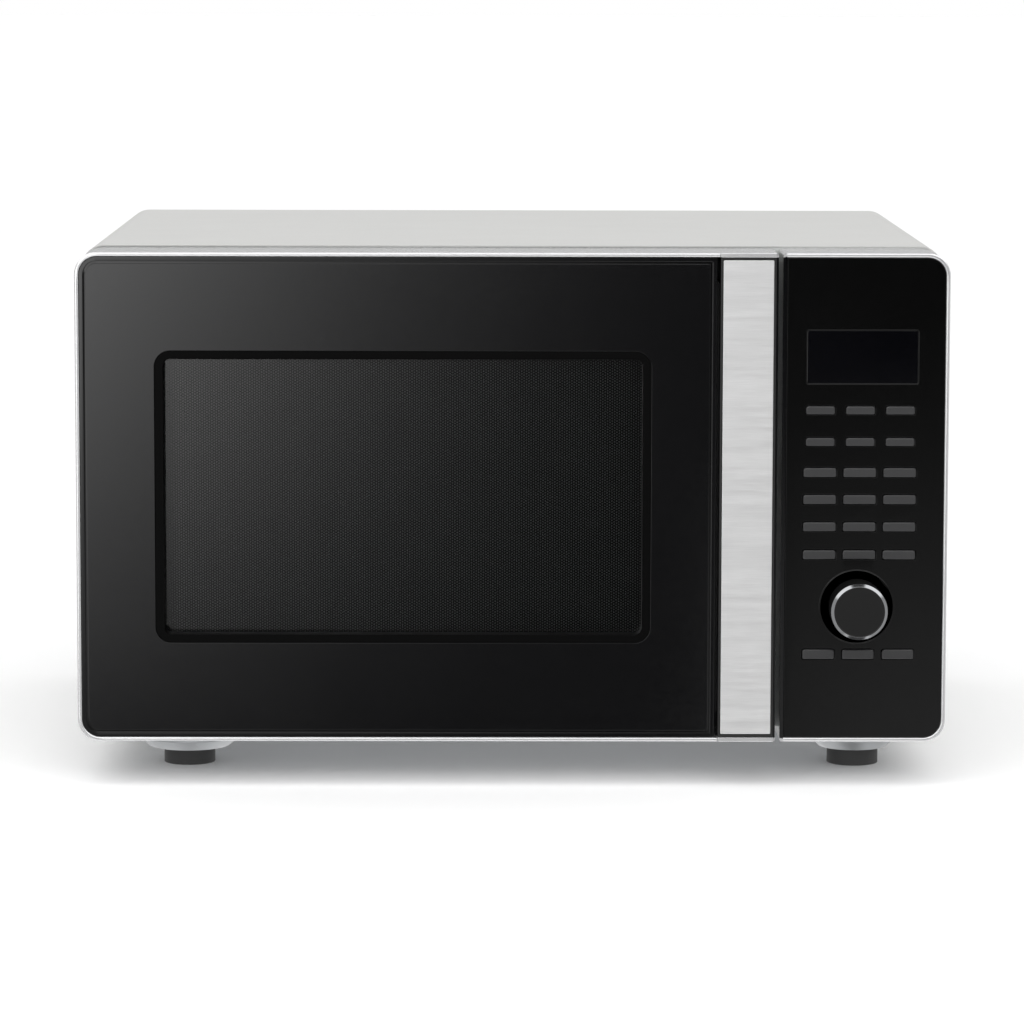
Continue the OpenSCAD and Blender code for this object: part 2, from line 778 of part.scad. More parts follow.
// Bar behind the steel plate, with the pocket for the fingertips at its lower end
module handle_body() {
    x = grow([handle_x0, handle_x1], -fit);
    z = grow([bottom, top], -rim - fit);
    front_wall = 6;
    end_wall = 6;
    color("#181818") placed() difference() {
        union() {
            slab(x, handle_y, z, even(round_min));
            box(grow(grip_x, grip_wall), [handle_y[1] - over, grip_y[1] + grip_wall],
                [z[0], bottom + grip_h + grip_wall]);
        }
        box(grow(handle_plate_x, fit), [handle_y[0] - over, handle_plate_y[1]], grow(handle_plate_z, fit));
        box(grip_x, grip_y, [z[0] - over, bottom + grip_h]);
        box(grow(x, -2), [front_wall, handle_y[1] + over], [bottom + grip_h + 8, z[1] - end_wall]);
    }
}

module handle_plate() {
    color("silver") placed() slab(handle_plate_x, handle_plate_y, handle_plate_z, even(round_min));
}

// Sliding bar behind the handle, with the two hooks that reach into the cabinet
module door_latch() {
    tip = cab_front + latch_reach;
    lip_l = 6;
    arm_x = grow([latch_x, latch_x], latch_half);
    color("whitesmoke") placed() {
        box([arm_x[0], latch_x + latch_bar_half], shift([0, latch_t], latch_y),
            [hook_z[0] - 10, hook_z[1] + 20]);
        for (z = hook_z) {
            box(arm_x, [latch_y, tip], [z, z + hook_h]);
            box(arm_x, [tip - lip_l, tip], [z - hook_lip, z + hook_h]);
        }
    }
}

module hinge_brackets() {
    pin_l = tab_clear + ear_t + 2.4;
    flange_z = [tab_z - 8, tab_z + tab_t + 8];
    color("silver") placed() top_and_bottom() {
        box(shift([-tab_half, tab_half], hinge_x), [hinge_y, cab_front], [tab_z, tab_z + tab_t]);
        translate([hinge_x, hinge_y, tab_z]) cylinder(h = tab_t, r = tab_half);
        translate([hinge_x, hinge_y, tab_z]) cylinder(h = tab_t + pin_l, r = pin_r);
        box(shift([-4, 12], hinge_x), [cab_front - hinge_flange_t, cab_front], flange_z);
    }
}

/* Turntable */

module turned() {
    placed() translate([table_x, table_y, 0]) children();
}

module glass_tray() {
    color("lightblue", 0.5) turned() translate([0, 0, tray_z]) {
        rotate_extrude() polygon([[0, 0], [tray_r - 14, 0], [tray_r, tray_rim_h - 2], [tray_r, tray_rim_h],
                                  [tray_r - 3, tray_rim_h], [tray_r - 16, tray_t], [0, tray_t]]);
        for (turn = [0, 120, 240]) rotate(turn) translate([coupler_r + lug_r + 1.5, 0, -3])
            cylinder(h = 3 + tray_t / 2, r = lug_r);
    }
}

// Three-lobed driver with the shaft that goes down into the motor
module drive_coupler() {
    hub_z = cavity_z[0] - sheet;
    color("whitesmoke") turned() {
        translate([0, 0, hub_z - 2]) cylinder(h = tray_z - hub_z + 2 - fit, r = coupler_r);
        for (turn = [60, 180, 300]) rotate(turn)
            translate([coupler_r - 2, -2, tray_z - 4]) cube([8, 4, 4 - fit]);
        translate([0, 0, base_top + 4]) cylinder(h = hub_z - 2 - base_top, r = spindle_r);
    }
}

module roller_ring() {
    hub_r = coupler_r + coupler_gap;
    color("whitesmoke") turned() {
        for (r = [hub_r + 3, ring_r - roller_w]) difference() {
            translate([0, 0, axle_z - 2.5]) cylinder(h = 5, r = r);
            translate([0, 0, axle_z - 3]) cylinder(h = 6, r = r - 3);
        }
        for (turn = [0, 120, 240]) rotate(turn) {
            translate([hub_r + 1.5, -2.5, axle_z - 2.5]) cube([ring_r - roller_w - hub_r - 3, 5, 5]);
            rod_x([ring_r - roller_w - 1.5, ring_r + roller_w / 2 + 1], 0, axle_z, axle_r);
            rod_x([ring_r + roller_w / 2 + roll_clear, ring_r + roller_w / 2 + 2], 0, axle_z, axle_r + 1);
        }
    }
}

module roller(turn) {
    color("#303030") turned() rotate(turn) difference() {
        rod_x(shift([-roller_w / 2, roller_w / 2], ring_r), 0, axle_z, roller_r);
        rod_x(shift([-roller_w, roller_w], ring_r), 0, axle_z, axle_r + running);
    }
}

module turntable_motor() {
    z = [base_top, cavity_z[0] - sheet - 4];
    color("silver") turned() difference() {
        union() {
            translate([0, 0, z[0]]) cylinder(h = min(15, z[1] - z[0]), r = 24.5);
            translate([-32, -5, z[0]]) cube([64, 10, 2]);
        }
        translate([0, 0, z[0] + 3]) cylinder(h = 20, r = spindle_r + running);
    }
}

/* Electronics */

// Yoke with cooling fins, and the antenna that reaches into the waveguide
module magnetron() {
    x0 = guide_x[1];
    color("silver") placed() translate([x0, tube_y, tube_z]) {
        difference() {
            translate([0.01, -44, -38]) cube([72, 88, 76]);
            translate([8, -45, -34]) cube([56, 90, 68]);
        }
        rod_x([1, 72], 0, 0, 18);
        for (i = [0:8]) translate([12 + i * 6, -40, -34.5]) cube([0.6, 80, 69]);
        rod_x([-12, 2], 0, 0, antenna_r - 1);
        translate([71, -20, -14]) cube([14, 40, 28]);
    }
}

module transformer() {
    x0 = bay_x[0] + 22;
    y0 = plate_back + 50;
    color("peru") placed() translate([x0, y0, base_top]) {
        translate([-8, 5, 0]) cube([108, 80, 2]);
        translate([0, 10, 1]) cube([92, 70, 76]);
        translate([14, 0, 14]) cube([64, 90, 24]);
        translate([14, 2, 42]) cube([64, 86, 20]);
    }
}

module capacitor() {
    x0 = bay_x[0] + 8;
    y0 = plate_back + 160;
    color("gainsboro") placed() translate([x0, y0, base_top]) {
        translate([17, 0, 19]) rotate([-90, 0, 0]) cylinder(h = 80, r = 17);
        translate([37, 0, 19]) rotate([-90, 0, 0]) cylinder(h = 80, r = 17);
        translate([17, 0, 2]) cube([20, 80, 34]);
        translate([0, 30, 0]) cube([54, 14, 3]);
        for (x = [17, 37]) translate([x - 3, -9, 18.6]) cube([6, 10, 0.8]);
    }
}

module fan_motor() {
    color("gray") placed() translate([fan_x, fan_y, fan_z]) {
        difference() {
            translate([-54, 0, -54]) cube([108, 2, 108]);
            rod_y(0, 0, [-1, 3], fan_r + 2);
        }
        translate([-52, 20, -9]) cube([104, 2, 18]);
        for (x = [-52, 50]) translate([x, 1, -9]) cube([2, 20, 18]);
        difference() {
            translate([-24, 7, -20]) cube([48, 13.5, 40]);
            rod_y(0, 0, [6, 16], fan_shaft_r + running);
        }
    }
}

module fan_blade() {
    color("#d8d8d8") placed() translate([fan_x, fan_y, fan_z]) {
        rod_y(0, 0, [-9, 4], fan_hub_r);
        rod_y(0, 0, [3, 15], fan_shaft_r);
        for (i = [0:4]) rotate([0, i * 72, 0]) translate([fan_hub_r - 2, -3, 0]) rotate([35, 0, 0])
            translate([0, -0.75, -9]) cube([fan_r - fan_hub_r - 1, 1.5, 18]);
    }
}

module cavity_lamp() {
    case = [34, 36, 26];
    wall = 3;
    bulb_r = 8;
    socket_r = 6;
    color("ivory") placed() translate([bay_x[0], lamp_y - case.y / 2, lamp_z - 16]) {
        difference() {
            cube(case);
            translate([-over, wall, wall]) cube([case.x - 10, case.y - 2 * wall, case.z - 2 * wall]);
        }
        translate([bulb_r + 5, case.y / 2, case.z / 2]) {
            sphere(r = bulb_r);
            rotate([0, 90, 0]) cylinder(h = case.x - 10 - bulb_r - 4.5, r = socket_r);
        }
    }
}

// Three switches on a bracket beside the latch's hooks
module interlock_switches() {
    x0 = latch_x + latch_half + latch_side_clear + 3;
    color("#b03020") placed() {
        box(shift([0, 2], x0), shift([0, 40], plate_back), [hook_z[0] - 12, hook_z[1] + 24]);
        for (z = [hook_z[0] - 8, hook_z[0] + 14, hook_z[1] - 4])
            box(shift([2, 12], x0), shift([4, 32], plate_back), shift([0, 16], z));
    }
}

module cord_gland() {
    color("#202020") placed() difference() {
        union() {
            rod_y(gland_x, gland_z, [rear_y - 6, cab_rear], gland_r);
            rod_y(gland_x, gland_z, [rear_y + sheet, body_d], gland_flange_r);
        }
        rod_y(gland_x, gland_z, [rear_y - 7, body_d + over], cord_r);
    }
}

outer_cabinet();
base_plate();
rear_panel();
cavity_shell();
waveguide_cover();
panel_housing();
panel_fascia();
display_lens();
control_board();
dial_knob();
door_shell();
door_panel();
window_bezel();
window_glass();
shield_screen();
door_choke();
choke_cover();
handle_body();
handle_plate();
handle_caps();
door_latch();
hinge_brackets();
glass_tray();
drive_coupler();
roller_ring();
roller(0);  // roller_a
roller(120);  // roller_b
roller(240);  // roller_c
turntable_motor();
magnetron();
transformer();
capacitor();
fan_motor();
fan_blade();
cavity_lamp();
interlock_switches();
cord_gland();
feet();
cabinet_screws();
for (row = [0:6], column = [0:2])
    key(row, column);
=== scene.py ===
"""Countertop microwave oven: softened edges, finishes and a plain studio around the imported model.

Laid out as an add-on and run as a script. Everything is in metres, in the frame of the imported
model: X runs left to right, Y from front to back, Z up from the surface the oven stands on.
"""

import json
import math

import bmesh
import bpy
from bpy.props import FloatProperty, FloatVectorProperty, PointerProperty
from bpy.types import Operator, Panel, PropertyGroup
from mathutils import Matrix, Vector

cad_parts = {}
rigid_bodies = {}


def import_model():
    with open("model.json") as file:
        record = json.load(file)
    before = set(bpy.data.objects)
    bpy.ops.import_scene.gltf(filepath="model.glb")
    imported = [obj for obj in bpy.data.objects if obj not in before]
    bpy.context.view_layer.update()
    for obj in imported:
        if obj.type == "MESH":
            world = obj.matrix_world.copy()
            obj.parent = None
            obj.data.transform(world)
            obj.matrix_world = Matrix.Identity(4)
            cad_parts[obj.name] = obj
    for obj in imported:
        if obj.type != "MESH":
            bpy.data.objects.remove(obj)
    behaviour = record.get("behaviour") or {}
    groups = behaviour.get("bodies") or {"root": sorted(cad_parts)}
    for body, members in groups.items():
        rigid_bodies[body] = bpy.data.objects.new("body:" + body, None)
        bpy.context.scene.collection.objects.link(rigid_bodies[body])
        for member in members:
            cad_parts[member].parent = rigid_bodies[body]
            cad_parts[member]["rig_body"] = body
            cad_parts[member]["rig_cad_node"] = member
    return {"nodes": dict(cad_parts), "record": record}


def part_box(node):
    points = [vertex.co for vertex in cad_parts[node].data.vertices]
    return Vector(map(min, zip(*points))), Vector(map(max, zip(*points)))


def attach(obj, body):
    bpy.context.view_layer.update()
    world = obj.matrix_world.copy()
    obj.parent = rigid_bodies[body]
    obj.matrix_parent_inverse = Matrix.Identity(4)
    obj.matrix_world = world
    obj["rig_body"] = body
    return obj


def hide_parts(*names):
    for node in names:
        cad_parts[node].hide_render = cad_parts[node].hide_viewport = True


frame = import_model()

bl_info = {
    "name": "Countertop Microwave Oven",
    "version": (1, 0, 0),
    "blender": (4, 5, 0),
    "location": "3D View > Sidebar > Oven",
    "description": "Builds the visible pieces, finishes and studio of a countertop microwave oven",
    "category": "Object",
}

MM = 0.001
# How far the frame's rounded corners reach along its sides.
CORNER = 18 * MM
# Points nearer than this are one, and faces that bend less than this are one.
WELD = 0.002 * MM
FLAT = math.radians(0.5)
# An edge lies in a plane when it is nearer than this, and is sharp from this bend, in radians.
IN_PLANE = 0.02 * MM
SHARP = 0.5
# A wave texture of scale 1 repeats after this length.
WAVE_PERIOD = 0.314
# Where the camera stands, and how it is turned, tilted and rolled, in degrees.
EYE = (-0.01532, -2.77674, 0.4662)
TURN = -0.338
TILT = 90 - 6.862
ROLL = 0.1257
# The middle of the oven's front, which the soft boxes face.
FRONT_MIDDLE = Vector((0, -0.1, 0.15))
RECORD = frame["record"]
BODY_OF = {node: body for body, nodes in RECORD["behaviour"]["bodies"].items() for node in nodes}
SLOT_OF = {part["node"]: part["material_slot"] for part in RECORD["subparts"]}
KEYS = sorted(node for node in BODY_OF if node.startswith("key_row"))


def srgb(text):
    """Turns a hex colour as seen on screen into the linear colour that the shaders use."""
    parts = [int(text[i:i + 2], 16) / 255 for i in (1, 3, 5)]
    return [c / 12.92 if c <= 0.04045 else ((c + 0.055) / 1.055) ** 2.4 for c in parts]


def colour(name, text, description):
    return FloatVectorProperty(name=name, description=description, default=srgb(text),
                               subtype="COLOR", size=3, min=0, max=1)


def length(name, millimetres, description):
    return FloatProperty(name=name, description=description, default=millimetres * MM,
                         min=0, unit="LENGTH", precision=5)


class OvenSizes(PropertyGroup):
    """Small sizes that only the look depends on."""

    frame_edge: length("Frame edge", 0.8, "Rounding of the silver frame's edges")
    panel_edge: length("Panel edge", 0.35, "Rounding of the black panels' edges")
    bezel_edge: length("Bezel edge", 0.3, "Rounding of the window bezel's edges")
    rim_band: length("Rim band", 2.3, "Width of the frame's silver band, seen from the front")
    upright_wall: length("Upright wall", 2.3, "Thickness of the frame's masked uprights")
    dish_rim: length("Dish rim", 0.4, "Height of the fine rim round the dial's dish")
    sheet_edge: length("Sheet edge", 0.25, "Rounding of cut steel sheet")
    fold_edge: length("Fold edge", 0.6, "Rounding of folded and pressed steel")
    trim_edge: length("Trim edge", 0.3, "Rounding of small mouldings")
    key_edge: length("Key edge", 0.7, "Rounding of the key caps")
    rubber_edge: length("Rubber edge", 1.0, "Rounding of the rubber feet")
    glass_edge: length("Glass edge", 0.8, "Rounding of the glass tray")
    knob_chamfer: length("Knob chamfer", 1.6, "Width of the polished ring round the dial")
    knob_dish: length("Knob dish", 0.2, "Depth of the dial's satin face behind its ring")
    knob_edge: length("Knob edge", 0.12, "Rounding of the dial's ring")
    hole_column: length("Hole columns", 1.33, "Distance between columns of the window's screen")
    hole_row: length("Hole rows", 1.55, "Distance between the holes of one column")
    hole_dot: length("Hole radius", 0.46, "Radius of one dot of the window's screen")
    brush_line: length("Brush line", 0.25, "Spacing of the brushed lines on the handle")
    spangle: length("Spangle", 7.0, "Size of the crystals on zinc-coated sheet")


class OvenColours(PropertyGroup):
    """Colours of the finishes."""

    cabinet: colour("Cabinet", "#B2B2B0", "Silver-grey enamel of the cabinet")
    frame: colour("Frame", "#CCCCCD", "Silver lacquer of the door frame and panel housing")
    black: colour("Black gloss", "#080809", "Polished black of the door")
    black_moulded: colour("Black moulding", "#060606", "Black of the fascia and the mouldings")
    bezel: colour("Bezel", "#080808", "Dull black of the window's bezel")
    keys: colour("Keys", "#222223", "Dark grey of the key caps")
    knob: colour("Knob", "#0E0E0E", "Satin black of the dial")
    steel: colour("Handle steel", "#DADADA", "Brushed stainless steel of the handle")
    zinc: colour("Zinc", "#96989A", "Zinc-coated sheet")
    enamel: colour("Cavity enamel", "#BFC1BF", "Light grey enamel of the cavity")
    rubber: colour("Rubber", "#323232", "Rubber of the feet")
    floor: colour("Floor", "#FAFAFA", "Surface the oven stands on")


class OvenStudio(PropertyGroup):
    """Camera and light."""

    lens: FloatProperty(name="Lens", description="Focal length in millimetres on a 36 mm sensor",
                        default=164.57, min=20, max=400)
    ambient: FloatProperty(name="Ambient", description="Brightness of the white studio",
                           default=1.42, min=0, max=4)
    low_light: FloatProperty(name="Low light", description="Brightness of the studio at floor level",
                             default=0.1, min=0, max=4)
    key_power: FloatProperty(name="Key light", description="Power of the overhead soft box",
                             default=8, min=0, max=500, unit="POWER")
    fill_power: FloatProperty(name="Fill light", description="Power of the front soft box",
                              default=20, min=0, max=500, unit="POWER")


# ---- shader trees ---------------------------------------------------------------------------


def add(tree, kind, settings=None, inputs=None):
    """Adds one node with its settings. An input is a value, or the output socket that feeds it."""
    made = tree.nodes.new(kind)
    for name, value in (settings or {}).items():
        setattr(made, name, value)
    for name, value in (inputs or {}).items():
        if isinstance(value, bpy.types.NodeSocket):
            tree.links.new(value, made.inputs[name])
        else:
            made.inputs[name].default_value = value
    return made


def rgba(value):
    return (*value[:3], 1.0)


def shaded(value, factor):
    """The same colour, lighter or darker."""
    return [min(1.0, c * factor) for c in value]


def new_material(name):
    material = bpy.data.materials.new(name)
    material.use_nodes = True
    material.node_tree.nodes.clear()
    return material, material.node_tree


def close_tree(tree, inputs):
    """Ends a tree with its shader and its output."""
    shader = add(tree, "ShaderNodeBsdfPrincipled", inputs=inputs)
    add(tree, "ShaderNodeOutputMaterial", inputs={"Surface": shader.outputs["BSDF"]})


def object_place(tree, stretch=(1, 1, 1)):
    """Object coordinates in metres, squeezed or stretched along an axis."""
    place = add(tree, "ShaderNodeTexCoord").outputs["Object"]
    return add(tree, "ShaderNodeMapping", inputs={"Vector": place, "Scale": stretch}).outputs["Vector"]


def surface(name, base, spread, grain, relief, rough, stretch=(1, 1, 1), patch=60, **fixed):
    """A finish whose colour, gloss and relief vary over grains of a real size, in millimetres.

    base is its colour and spread how far a grain strays from it. rough gives its smoothest and
    roughest spots, and patch the size of the broad uneven areas that handling leaves.
    """
    material, tree = new_material(name)
    place = object_place(tree, stretch)
    grains = add(tree, "ShaderNodeTexNoise",
                 inputs={"Vector": place, "Scale": 1 / (grain * MM), "Detail": 3.0, "Roughness": 0.6})
    patches = add(tree, "ShaderNodeTexNoise",
                  inputs={"Vector": object_place(tree), "Scale": 1 / (patch * MM), "Detail": 2.0})
    tint = add(tree, "ShaderNodeMix", {"data_type": "RGBA"},
               {0: grains.outputs["Fac"], 6: rgba(shaded(base, 1 - spread)),
                7: rgba(shaded(base, 1 + spread))})
    both = add(tree, "ShaderNodeMath", {"operation": "MULTIPLY_ADD"},
               {0: patches.outputs["Fac"], 1: 0.6, 2: grains.outputs["Fac"]})
    gloss = add(tree, "ShaderNodeMapRange",
                inputs={"Value": both.outputs[0], "From Min": 0.5, "From Max": 1.1,
                        "To Min": rough[0], "To Max": rough[1]})
    inputs = {"Base Color": tint.outputs[2], "Roughness": gloss.outputs["Result"]}
    if relief:
        bump = add(tree, "ShaderNodeBump",
                   inputs={"Height": grains.outputs["Fac"], "Distance": relief * MM, "Strength": 1.0})
        inputs["Normal"] = bump.outputs["Normal"]
    close_tree(tree, {**inputs, **fixed})
    return material


def brushed_steel(name, base, line):
    """Stainless steel brushed across the strip: fine level lines that smear the light up and down."""
    material, tree = new_material(name)
    lines = add(tree, "ShaderNodeTexNoise",
                inputs={"Vector": object_place(tree, (0.02, 1, 1)), "Scale": 1 / line,
                        "Detail": 2.0, "Roughness": 0.7})
    broad = add(tree, "ShaderNodeTexNoise",
                inputs={"Vector": object_place(tree, (0.05, 1, 1)), "Scale": 1 / (12 * line), "Detail": 2.0})
    mixed = add(tree, "ShaderNodeMath", {"operation": "MULTIPLY_ADD"},
                {0: broad.outputs["Fac"], 1: 0.5, 2: lines.outputs["Fac"]})
    tint = add(tree, "ShaderNodeMix", {"data_type": "RGBA"},
               {0: mixed.outputs[0], 6: rgba(shaded(base, 0.86)), 7: rgba(shaded(base, 1.08))})
    gloss = add(tree, "ShaderNodeMapRange",
                inputs={"Value": mixed.outputs[0], "From Min": 0.4, "From Max": 1.1,
                        "To Min": 0.3, "To Max": 0.44})
    bump = add(tree, "ShaderNodeBump", inputs={"Height": lines.outputs["Fac"], "Distance": 0.01 * MM,
                                               "Strength": 1.0})
    close_tree(tree, {"Base Color": tint.outputs[2], "Metallic": 1.0, "Roughness": gloss.outputs["Result"],
                      "Normal": bump.outputs["Normal"]})
    return material


def zinc_sheet(name, base, crystal):
    """Hot-dip zinc on steel: flat crystals, each a little brighter or duller than the next."""
    material, tree = new_material(name)
    place = object_place(tree)
    cells = add(tree, "ShaderNodeTexVoronoi",
                inputs={"Vector": place, "Scale": 1 / crystal, "Randomness": 1.0})
    shade = add(tree, "ShaderNodeSeparateColor", inputs={"Color": cells.outputs["Color"]}).outputs[0]
    tint = add(tree, "ShaderNodeMix", {"data_type": "RGBA"},
               {0: shade, 6: rgba(shaded(base, 0.88)), 7: rgba(shaded(base, 1.05))})
    gloss = add(tree, "ShaderNodeMapRange",
                inputs={"Value": shade, "To Min": 0.36, "To Max": 0.5})
    grains = add(tree, "ShaderNodeTexNoise", inputs={"Vector": place, "Scale": 1 / (0.6 * MM), "Detail": 2.0})
    bump = add(tree, "ShaderNodeBump", inputs={"Height": grains.outputs["Fac"], "Distance": 0.01 * MM,
                                               "Strength": 1.0})
    close_tree(tree, {"Base Color": tint.outputs[2], "Metallic": 1.0, "Roughness": gloss.outputs["Result"],
                      "Normal": bump.outputs["Normal"]})
    return material


def dots_near(tree, place, shift, column, row):
    """Distance from the nearest point of one lattice of dots, in the plane of the door."""
    moved = add(tree, "ShaderNodeVectorMath", {"operation": "ADD"}, {0: place, 1: shift})
    wrapped = add(tree, "ShaderNodeVectorMath", {"operation": "WRAP"},
                  {0: moved.outputs[0], 1: (column, 1, row / 2), 2: (-column, -1, -row / 2)})
    flat = add(tree, "ShaderNodeVectorMath", {"operation": "MULTIPLY"}, {0: wrapped.outputs[0], 1: (1, 0, 1)})
    return add(tree, "ShaderNodeVectorMath", {"operation": "LENGTH"}, {0: flat.outputs[0]}).outputs["Value"]


def screen_sheet(name, sizes):
    """Perforated steel behind the window: staggered rows of holes whose rims catch the light.

    The bright dots are the bare rims. The black between them is dull black enamel and the holes, painted dark
    as painted shade for the unlit cavity behind them. The dots are painted darker near the sheet's left side
    and top, as a painted shadow of the bezel.
    """
    low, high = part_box("shield_screen")
    material, tree = new_material(name)
    place = object_place(tree)
    column, row, dot = sizes.hole_column, sizes.hole_row, sizes.hole_dot
    # The dots are painted darker towards the left side and top: a painted shadow of the bezel over the
    # recessed screen.
    bezel_shadow_level = 0.35
    left_from, left_to = low.x + 5 * MM, low.x + 10 * MM
    top_from, top_to = high.z - 1.5 * MM, high.z - 5 * MM
    near = add(tree, "ShaderNodeMath", {"operation": "MINIMUM"},
               {0: dots_near(tree, place, (0, 0, 0), column, row),
                1: dots_near(tree, place, (column, 0, row / 2), column, row)})
    mark = add(tree, "ShaderNodeMapRange",
               inputs={"Value": near.outputs[0], "From Min": dot * 1.25, "From Max": dot * 0.75,
                       "To Min": 0.0, "To Max": 1.0})
    axes = add(tree, "ShaderNodeSeparateXYZ", inputs={"Vector": place})
    bezel_shade_left = add(tree, "ShaderNodeMapRange",
                      inputs={"Value": axes.outputs["X"], "From Min": left_from, "From Max": left_to,
                              "To Min": bezel_shadow_level, "To Max": 1.0})
    bezel_shade_top = add(tree, "ShaderNodeMapRange",
                     inputs={"Value": axes.outputs["Z"], "From Min": top_from, "From Max": top_to,
                             "To Min": bezel_shadow_level, "To Max": 1.0})
    bezel_shade = add(tree, "ShaderNodeMath", {"operation": "MULTIPLY"},
                 {0: bezel_shade_left.outputs[0], 1: bezel_shade_top.outputs[0]})
    shown = add(tree, "ShaderNodeMath", {"operation": "MULTIPLY"},
                {0: mark.outputs["Result"], 1: bezel_shade.outputs[0]})
    uneven = add(tree, "ShaderNodeTexNoise", inputs={"Vector": place, "Scale": 1 / (25 * MM), "Detail": 2.0})
    bright = add(tree, "ShaderNodeMix", {"data_type": "RGBA"},
                 {0: uneven.outputs["Fac"], 6: rgba(srgb("#707070")), 7: rgba(srgb("#868686"))})
    # Between the dots the sheet is painted near black: dull black enamel, and painted shade for the unlit
    # cavity seen through the holes.
    tint = add(tree, "ShaderNodeMix", {"data_type": "RGBA"},
               {0: shown.outputs[0], 6: rgba(srgb("#080808")), 7: bright.outputs[2]})
    close_tree(tree, {"Base Color": tint.outputs[2], "Metallic": shown.outputs[0], "Roughness": 0.28,
                      "Specular IOR Level": 0.12})
    return material


def clear_pane(name, tint, alpha, rough):
    """Flat glass: mostly what lies behind it, under a thin even gloss."""
    material, tree = new_material(name)
    marks = add(tree, "ShaderNodeTexNoise", inputs={"Vector": object_place(tree), "Scale": 1 / (40 * MM),
                                                    "Detail": 2.0})
    gloss = add(tree, "ShaderNodeMapRange", inputs={"Value": marks.outputs["Fac"], "To Min": rough * 0.7,
                                                    "To Max": rough * 1.3})
    close_tree(tree, {"Base Color": rgba(tint), "Roughness": gloss.outputs["Result"], "Alpha": alpha,
                      "IOR": 1.5, "Specular IOR Level": 1.0})
    material.surface_render_method = "BLENDED"
    return material


def pressed_glass(name, tint):
    """Soda-lime glass pressed in a mould: clear, faintly green, with a slow ripple in its surface."""
    material, tree = new_material(name)
    ripple = add(tree, "ShaderNodeTexNoise", inputs={"Vector": object_place(tree), "Scale": 1 / (14 * MM),
                                                     "Detail": 1.0})
    bump = add(tree, "ShaderNodeBump", inputs={"Height": ripple.outputs["Fac"], "Distance": 0.15 * MM,
                                               "Strength": 1.0})
    gloss = add(tree, "ShaderNodeMapRange", inputs={"Value": ripple.outputs["Fac"], "To Min": 0.02,
                                                    "To Max": 0.06})
    close_tree(tree, {"Base Color": rgba(tint), "Roughness": gloss.outputs["Result"], "IOR": 1.5,
                      "Transmission Weight": 1.0, "Normal": bump.outputs["Normal"]})
    return material


def laminations(name, base, sheet):
    """A stack of varnished iron sheets: thin dark and rusty-brown lines across the core."""
    material, tree = new_material(name)
    place = object_place(tree)
    stack = add(tree, "ShaderNodeTexWave", {"bands_direction": "Y"},
                {"Vector": place, "Scale": WAVE_PERIOD / sheet, "Distortion": 0.4, "Detail": 1.0})
    tint = add(tree, "ShaderNodeMix", {"data_type": "RGBA"},
               {0: stack.outputs["Fac"], 6: rgba(shaded(base, 0.6)), 7: rgba(shaded(base, 1.3))})
    bump = add(tree, "ShaderNodeBump", inputs={"Height": stack.outputs["Fac"], "Distance": 0.05 * MM,
                                               "Strength": 1.0})
    close_tree(tree, {"Base Color": tint.outputs[2], "Roughness": 0.5, "Metallic": 0.4,
                      "Normal": bump.outputs["Normal"]})
    return material


